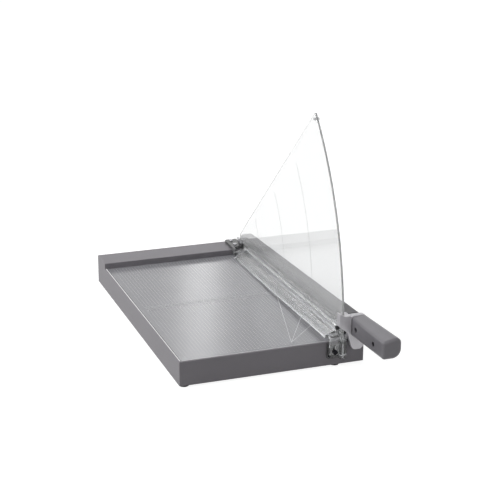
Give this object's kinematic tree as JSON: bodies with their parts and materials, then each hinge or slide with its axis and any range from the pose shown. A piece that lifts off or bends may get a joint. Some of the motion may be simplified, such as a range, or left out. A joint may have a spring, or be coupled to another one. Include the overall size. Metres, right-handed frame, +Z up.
{
  "type": "lever paper trimmer",
  "caption": "Lever guillotine trimmer: flat gridded table with a back rail, long lever arm with curved blade and grip, clear ribbed press bar and tall clear sector-shaped finger guard.",
  "frame": {"origin": "on the surface that it stands on, below the centre of the whole machine's bounding box", "axes": "+X to the cutting side (right), +Y to the back stop, +Z up; the lever's grip points to -Y"},
  "size_m": [0.2752, 0.55, 0.3382],
  "materials": {
    "shell_paint": "satin",
    "table_paint": "satin",
    "plate_steel": "satin",
    "blade_steel": "satin",
    "pivot_steel": "satin",
    "spring_steel": "satin",
    "screw_steel": "satin",
    "black_screw": "matte",
    "bushing_bronze": "satin",
    "foot_rubber": "matte",
    "stop_rubber": "matte",
    "clear_sheet": "gloss",
    "clear_moulding": "gloss",
    "black_plastic": "matte",
    "arm_paint": "satin",
    "cast_silver": "satin",
    "grip_grey": "satin"
  },
  "bodies": {
    "base": {"base_shell": "shell_paint", "back_rail": "shell_paint", "side_rail": "shell_paint", "side_rail_front_cap": "shell_paint", "side_rail_rear_cap": "shell_paint", "table_plate": "table_paint", "bottom_plate": "plate_steel", "lower_blade": "blade_steel", "pivot_bracket": "pivot_steel", "pivot_stud": "pivot_steel", "pivot_spacer": "pivot_steel", "pivot_washer": "pivot_steel", "pivot_disc_springs": "pivot_steel", "pivot_lock_nut": "pivot_steel", "clamp_hinge_pin": "pivot_steel", "guard_stop": "pivot_steel", "clamp_spring": "spring_steel", "bottom_screws": "screw_steel", "foot_screws": "screw_steel", "rail_screws": "screw_steel", "lower_blade_screws": "screw_steel", "pivot_bracket_screws": "screw_steel", "guard_rear_screws": "screw_steel", "guard_mount_screws": "screw_steel", "guard_leg_screw": "screw_steel", "guard_front_screws": "black_screw", "clamp_guide_screw": "black_screw", "foot_front_left": "foot_rubber", "foot_front_right": "foot_rubber", "foot_rear_left": "foot_rubber", "foot_rear_right": "foot_rubber", "stop_pad": "stop_rubber", "guard_plate": "clear_sheet", "guard_rear_mount": "clear_moulding", "guard_front_mount": "clear_moulding"},
    "clamp": {"clamp_bar": "clear_moulding", "clamp_end_plug": "black_plastic"},
    "arm": {"arm_bar": "arm_paint", "arm_bushing": "bushing_bronze", "upper_blade": "blade_steel", "upper_blade_screws": "screw_steel", "arm_bracket": "cast_silver", "arm_bracket_screws": "screw_steel", "handle_core": "pivot_steel", "grip_left": "grip_grey", "grip_right": "grip_grey", "grip_screws": "black_screw"}
  },
  "joints": [
    {"name": "arm_hinge", "type": "hinge", "parent": "base", "child": "arm", "pos_m": [0.11575, 0.2605, 0.0459], "axis": [-1, 0, 0], "range_deg": [0, 36.6]},
    {"name": "clamp_press", "type": "hinge", "parent": "base", "child": "clamp", "pos_m": [0.08715, 0.223, 0.0445], "axis": [-1, 0, 0], "range_deg": [-0.95, 0], "stiffness_Nm_per_rad": 2, "springref_deg": 14.32}
  ]
}
